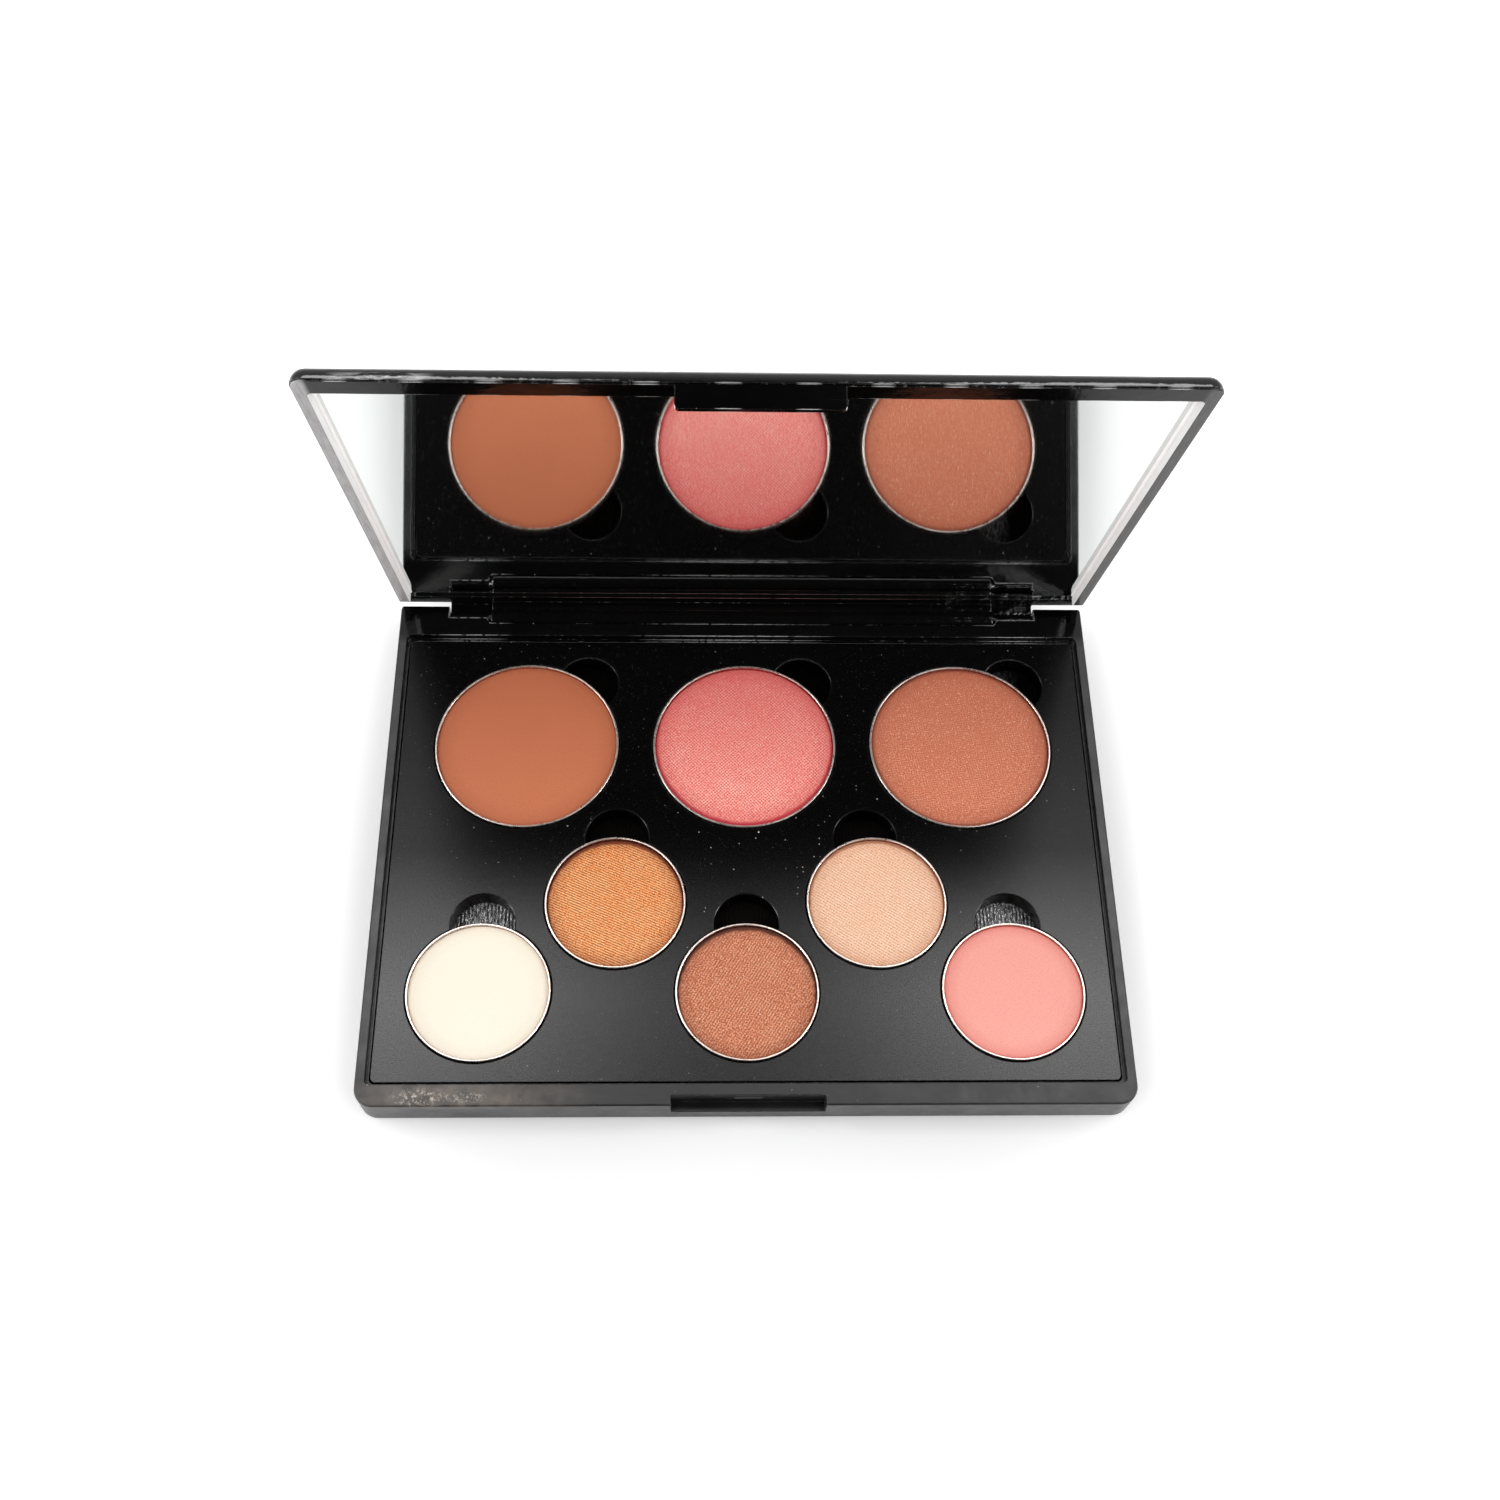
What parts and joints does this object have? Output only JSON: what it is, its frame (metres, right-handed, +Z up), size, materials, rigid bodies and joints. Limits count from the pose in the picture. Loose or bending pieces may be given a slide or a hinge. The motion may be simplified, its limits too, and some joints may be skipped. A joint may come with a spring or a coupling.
{
  "type": "eyeshadow palette",
  "caption": "Shallow hinged make-up palette with a mirrored lid, a front latch tab and round lift-out powder pans in an insert with finger notches.",
  "frame": {"origin": "centre of the tray's underside", "axes": "+X to the right along the hinge, +Y from the latch to the hinge, +Z up"},
  "size_m": [0.14, 0.1067, 0.1067],
  "materials": {
    "case_black": "satin gloss, lightly scuffed",
    "panel_black": "fine matte grain",
    "magnet_sheet": "finely ridged",
    "pan_metal": "bright pressed tinplate",
    "pin_steel": "drawn wire",
    "mirror_glass": "silvered",
    "bonding_tape": "double-sided tape",
    "powder_large_left": "matte terracotta, pressed flat",
    "powder_large_middle": "coral pink shimmer, fine diagonal weave",
    "powder_large_right": "rose brown with fine sparkle",
    "powder_middle_left": "metallic copper gold, fine weave",
    "powder_middle_right": "champagne peach shimmer, fine weave",
    "powder_front_left": "matte ivory",
    "powder_front_middle": "bronze brown shimmer",
    "powder_front_right": "matte coral pink"
  },
  "bodies": {
    "base": {"base_tray": "case_black", "magnet_sheet": "magnet_sheet", "insert_panel": "panel_black", "hinge_pin_left": "pin_steel", "hinge_pin_right": "pin_steel"},
    "lid": {"lid_cover": "case_black", "mirror_frame": "case_black", "mirror": "mirror_glass", "mirror_tape": "bonding_tape"},
    "pan_large_left": {"pan_large_left": "pan_metal", "powder_large_left": "powder_large_left"},
    "pan_large_middle": {"pan_large_middle": "pan_metal", "powder_large_middle": "powder_large_middle"},
    "pan_large_right": {"pan_large_right": "pan_metal", "powder_large_right": "powder_large_right"},
    "pan_middle_left": {"pan_middle_left": "pan_metal", "powder_middle_left": "powder_middle_left"},
    "pan_middle_right": {"pan_middle_right": "pan_metal", "powder_middle_right": "powder_middle_right"},
    "pan_front_left": {"pan_front_left": "pan_metal", "powder_front_left": "powder_front_left"},
    "pan_front_middle": {"pan_front_middle": "pan_metal", "powder_front_middle": "powder_front_middle"},
    "pan_front_right": {"pan_front_right": "pan_metal", "powder_front_right": "powder_front_right"}
  },
  "joints": [
    {"name": "lid_hinge", "type": "hinge", "parent": "base", "child": "lid", "pos_m": [0, 0.0498, 0.007], "axis": [-1, 0, 0], "range_deg": [-77, 33]},
    {"name": "lift_large_left", "type": "slide", "parent": "base", "child": "pan_large_left", "axis": [0, 0, 1], "range_m": [0, 0.02]},
    {"name": "lift_large_middle", "type": "slide", "parent": "base", "child": "pan_large_middle", "axis": [0, 0, 1], "range_m": [0, 0.02]},
    {"name": "lift_large_right", "type": "slide", "parent": "base", "child": "pan_large_right", "axis": [0, 0, 1], "range_m": [0, 0.02]},
    {"name": "lift_middle_left", "type": "slide", "parent": "base", "child": "pan_middle_left", "axis": [0, 0, 1], "range_m": [0, 0.02]},
    {"name": "lift_middle_right", "type": "slide", "parent": "base", "child": "pan_middle_right", "axis": [0, 0, 1], "range_m": [0, 0.02]},
    {"name": "lift_front_left", "type": "slide", "parent": "base", "child": "pan_front_left", "axis": [0, 0, 1], "range_m": [0, 0.02]},
    {"name": "lift_front_middle", "type": "slide", "parent": "base", "child": "pan_front_middle", "axis": [0, 0, 1], "range_m": [0, 0.02]},
    {"name": "lift_front_right", "type": "slide", "parent": "base", "child": "pan_front_right", "axis": [0, 0, 1], "range_m": [0, 0.02]}
  ]
}
